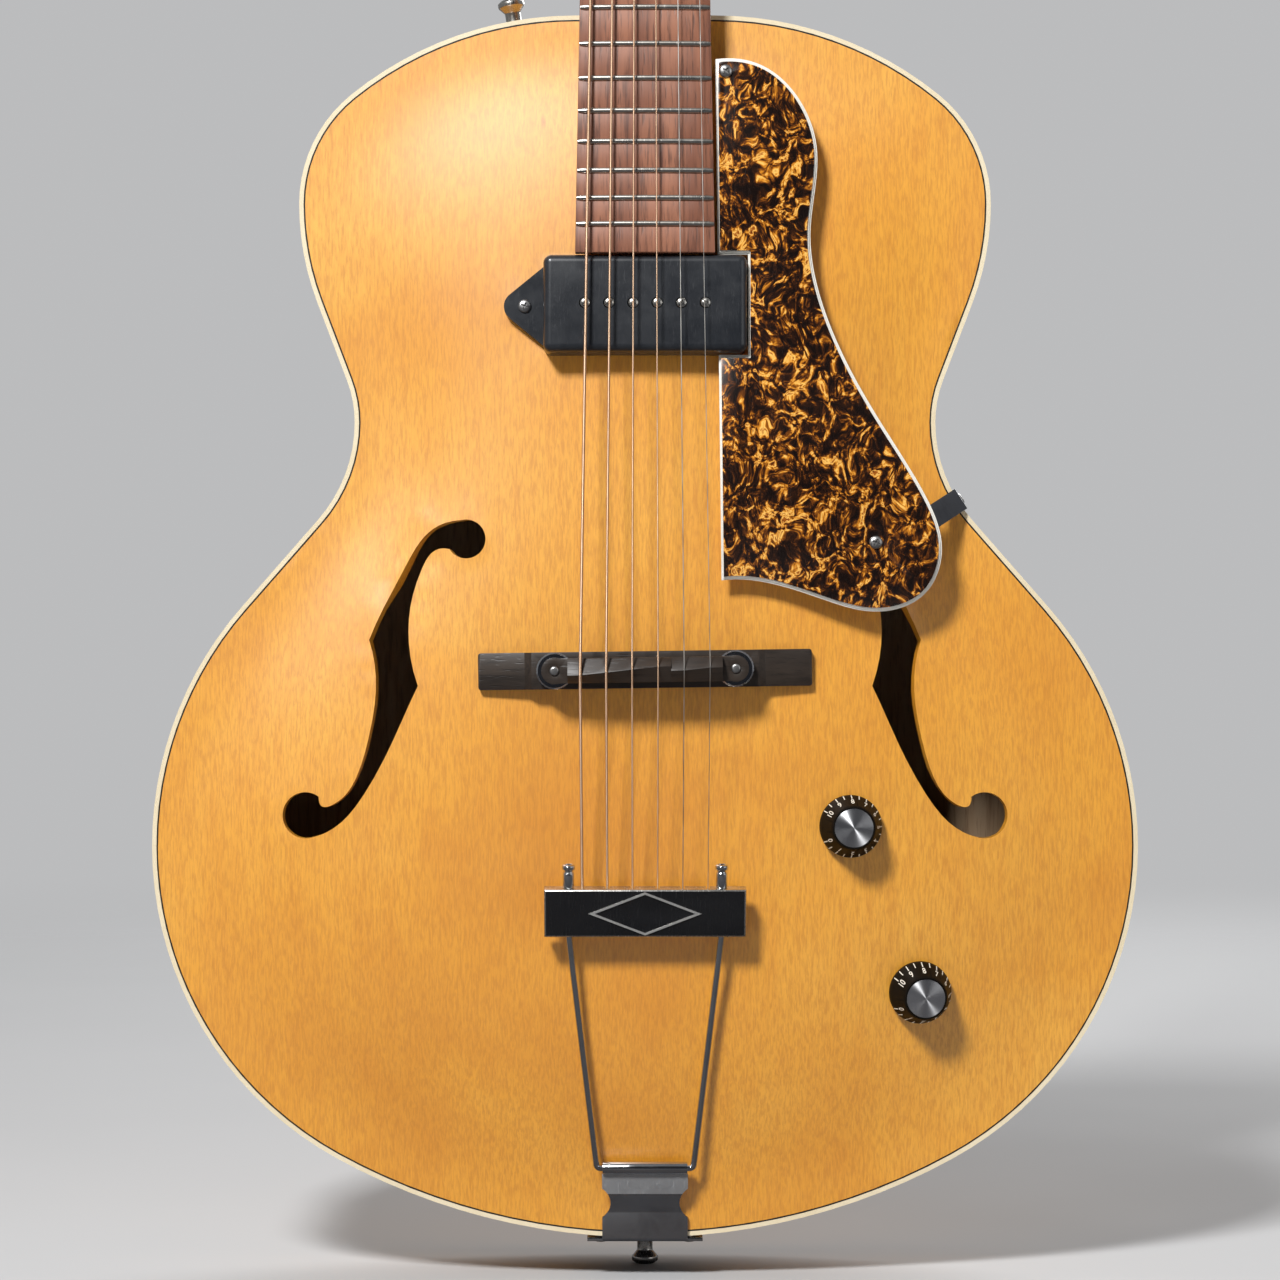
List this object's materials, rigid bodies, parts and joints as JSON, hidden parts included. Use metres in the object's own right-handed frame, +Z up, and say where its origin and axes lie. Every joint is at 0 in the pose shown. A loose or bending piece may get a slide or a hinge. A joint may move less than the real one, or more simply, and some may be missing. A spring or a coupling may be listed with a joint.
{
  "type": "archtop guitar",
  "caption": "Hollow-body archtop guitar with f-holes, floating bridge on thumbwheels, hinged trapeze tailpiece, dog-ear pickup, raised pickguard, volume and tone knobs and geared tuners.",
  "frame": {"origin": "on the tail end of the rim, on the centre line and half way through the rim's depth, where the end pin seats", "axes": "+Z up the neck to the head, -Y out of the front, +X to the treble side"},
  "size_m": [0.4272, 0.1323, 1.0622],
  "materials": {
    "maple_top": "gloss lacquer",
    "maple_body": "gloss lacquer",
    "inner_wood": "bare",
    "cream_binding": "polished",
    "black_line": "flush",
    "neck_wood": "gloss lacquer",
    "rosewood": "oiled",
    "ebony": "satin",
    "fret_wire": "polished",
    "bone": "polished",
    "steel": "plain",
    "black_plastic": "gloss",
    "bobbin_plastic": "moulded",
    "coil_wire": "enamelled",
    "magnet": "ground",
    "nickel": "nickel plated",
    "tortoiseshell": "polished",
    "white_ply": "bevelled",
    "chrome": "polished",
    "spun_aluminium": "spun",
    "pot_metal": "plated",
    "lead_cover": "braided",
    "bronze_wound": "wound",
    "plain_steel": "drawn",
    "cream_button": "polished"
  },
  "bodies": {
    "guitar": {"top_plate": "maple_top", "back_plate": "maple_body", "rim_bass": "maple_body", "rim_treble": "maple_body", "end_blocks": "inner_wood", "linings": "inner_wood", "tone_bars": "inner_wood", "binding_front": "cream_binding", "binding_back": "cream_binding", "purfling_front": "black_line", "neck": "neck_wood", "fretboard": "rosewood", "bridge_base": "ebony", "frets": "fret_wire", "nut": "bone", "truss_rod": "steel", "bridge_posts": "steel", "truss_rod_cover": "black_plastic", "pickup_cover": "black_plastic", "pickup_bobbin": "bobbin_plastic", "pickup_coil": "coil_wire", "pickup_magnets": "magnet", "pickup_baseplate": "nickel", "pickup_pole_screws": "nickel", "mounting_screws": "nickel", "tuner_housings": "nickel", "strap_buttons": "nickel", "pickguard_supports": "nickel", "pickguard_face": "tortoiseshell", "pickguard_ply": "white_ply", "tailpiece_hinge_plate": "chrome", "output_jack": "chrome", "potentiometers": "pot_metal", "leads": "lead_cover", "strings_wound": "bronze_wound", "strings_plain": "plain_steel"},
    "saddle": {"bridge_saddle": "ebony"},
    "wheel_bass": {"thumbwheel_bass": "chrome"},
    "wheel_treble": {"thumbwheel_treble": "chrome"},
    "tailpiece": {"tailpiece_bar": "chrome", "tailpiece_rod": "chrome", "tailpiece_nuts": "chrome"},
    "volume_control": {"knob_volume": "black_plastic", "knob_volume_cap": "spun_aluminium", "volume_shaft": "steel"},
    "tone_control": {"knob_tone": "black_plastic", "knob_tone_cap": "spun_aluminium", "tone_shaft": "steel"},
    "tuner_1_key": {"tuner_key_1": "cream_button"},
    "tuner_1_post": {"tuner_post_1": "nickel"},
    "tuner_2_key": {"tuner_key_2": "cream_button"},
    "tuner_2_post": {"tuner_post_2": "nickel"},
    "tuner_3_key": {"tuner_key_3": "cream_button"},
    "tuner_3_post": {"tuner_post_3": "nickel"},
    "tuner_4_key": {"tuner_key_4": "cream_button"},
    "tuner_4_post": {"tuner_post_4": "nickel"},
    "tuner_5_key": {"tuner_key_5": "cream_button"},
    "tuner_5_post": {"tuner_post_5": "nickel"},
    "tuner_6_key": {"tuner_key_6": "cream_button"},
    "tuner_6_post": {"tuner_post_6": "nickel"}
  },
  "joints": [
    {"name": "saddle_height", "type": "slide", "parent": "guitar", "child": "saddle", "axis": [0, -1, 0], "range_m": [-0.00119, 0.00198], "deforming": ["strings_wound", "strings_plain"]},
    {"name": "thumbwheel_bass_turn", "type": "hinge", "parent": "saddle", "child": "wheel_bass", "pos_m": [-0.0385, -0.0652, 0.24563], "axis": [0, -1, 0], "range_deg": [-542, 902]},
    {"name": "thumbwheel_treble_turn", "type": "hinge", "parent": "saddle", "child": "wheel_treble", "pos_m": [0.0385, -0.0652, 0.2467], "axis": [0, -1, 0], "range_deg": [-542, 902]},
    {"name": "tailpiece_hinge", "type": "hinge", "parent": "guitar", "child": "tailpiece", "pos_m": [0, -0.0485, 0.0315], "axis": [-1, 0, 0], "range_deg": [-1.5, 2.5], "stiffness_Nm_per_rad": 40, "deforming": ["strings_wound", "strings_plain"]},
    {"name": "volume_turn", "type": "hinge", "parent": "guitar", "child": "volume_control", "pos_m": [0.088, -0.05273, 0.17899], "axis": [0.0496, -0.9987, -0.0067], "range_deg": [-150, 150]},
    {"name": "tone_turn", "type": "hinge", "parent": "guitar", "child": "tone_control", "pos_m": [0.118, -0.04713, 0.10752], "axis": [0.1117, -0.9886, -0.1009], "range_deg": [-150, 150]},
    {"name": "tuner_1_key_turn", "type": "hinge", "parent": "guitar", "child": "tuner_1_key", "pos_m": [-0.02966, -0.0016, 0.91024], "axis": [-1, 0, 0], "continuous": true},
    {"name": "tuner_1_post_turn", "type": "hinge", "parent": "guitar", "child": "tuner_1_post", "pos_m": [-0.02216, -0.01876, 0.92207], "axis": [0, -0.9593, 0.2823], "continuous": true},
    {"name": "tuner_2_key_turn", "type": "hinge", "parent": "guitar", "child": "tuner_2_key", "pos_m": [-0.03177, 0.01026, 0.95053], "axis": [-1, 0, 0], "continuous": true},
    {"name": "tuner_2_post_turn", "type": "hinge", "parent": "guitar", "child": "tuner_2_post", "pos_m": [-0.02427, -0.0069, 0.96236], "axis": [0, -0.9593, 0.2823], "continuous": true},
    {"name": "tuner_3_key_turn", "type": "hinge", "parent": "guitar", "child": "tuner_3_key", "pos_m": [-0.03389, 0.02212, 0.99083], "axis": [-1, 0, 0], "continuous": true},
    {"name": "tuner_3_post_turn", "type": "hinge", "parent": "guitar", "child": "tuner_3_post", "pos_m": [-0.02639, 0.00496, 1.00265], "axis": [0, -0.9593, 0.2823], "continuous": true},
    {"name": "tuner_4_key_turn", "type": "hinge", "parent": "guitar", "child": "tuner_4_key", "pos_m": [0.03389, 0.02212, 0.99083], "axis": [1, 0, 0], "continuous": true},
    {"name": "tuner_4_post_turn", "type": "hinge", "parent": "guitar", "child": "tuner_4_post", "pos_m": [0.02639, 0.00496, 1.00265], "axis": [0, -0.9593, 0.2823], "continuous": true},
    {"name": "tuner_5_key_turn", "type": "hinge", "parent": "guitar", "child": "tuner_5_key", "pos_m": [0.03177, 0.01026, 0.95053], "axis": [1, 0, 0], "continuous": true},
    {"name": "tuner_5_post_turn", "type": "hinge", "parent": "guitar", "child": "tuner_5_post", "pos_m": [0.02427, -0.0069, 0.96236], "axis": [0, -0.9593, 0.2823], "continuous": true},
    {"name": "tuner_6_key_turn", "type": "hinge", "parent": "guitar", "child": "tuner_6_key", "pos_m": [0.02966, -0.0016, 0.91024], "axis": [1, 0, 0], "continuous": true},
    {"name": "tuner_6_post_turn", "type": "hinge", "parent": "guitar", "child": "tuner_6_post", "pos_m": [0.02216, -0.01876, 0.92207], "axis": [0, -0.9593, 0.2823], "continuous": true}
  ],
  "couplings": [
    {"joint": "thumbwheel_bass_turn", "follows": "saddle_height", "rad_per_m": 7913.3},
    {"joint": "thumbwheel_treble_turn", "follows": "saddle_height", "rad_per_m": 7913.3},
    {"joint": "tuner_1_post_turn", "follows": "tuner_1_key_turn", "ratio": 0.066667},
    {"joint": "tuner_2_post_turn", "follows": "tuner_2_key_turn", "ratio": 0.066667},
    {"joint": "tuner_3_post_turn", "follows": "tuner_3_key_turn", "ratio": 0.066667},
    {"joint": "tuner_4_post_turn", "follows": "tuner_4_key_turn", "ratio": -0.066667},
    {"joint": "tuner_5_post_turn", "follows": "tuner_5_key_turn", "ratio": -0.066667},
    {"joint": "tuner_6_post_turn", "follows": "tuner_6_key_turn", "ratio": -0.066667}
  ]
}
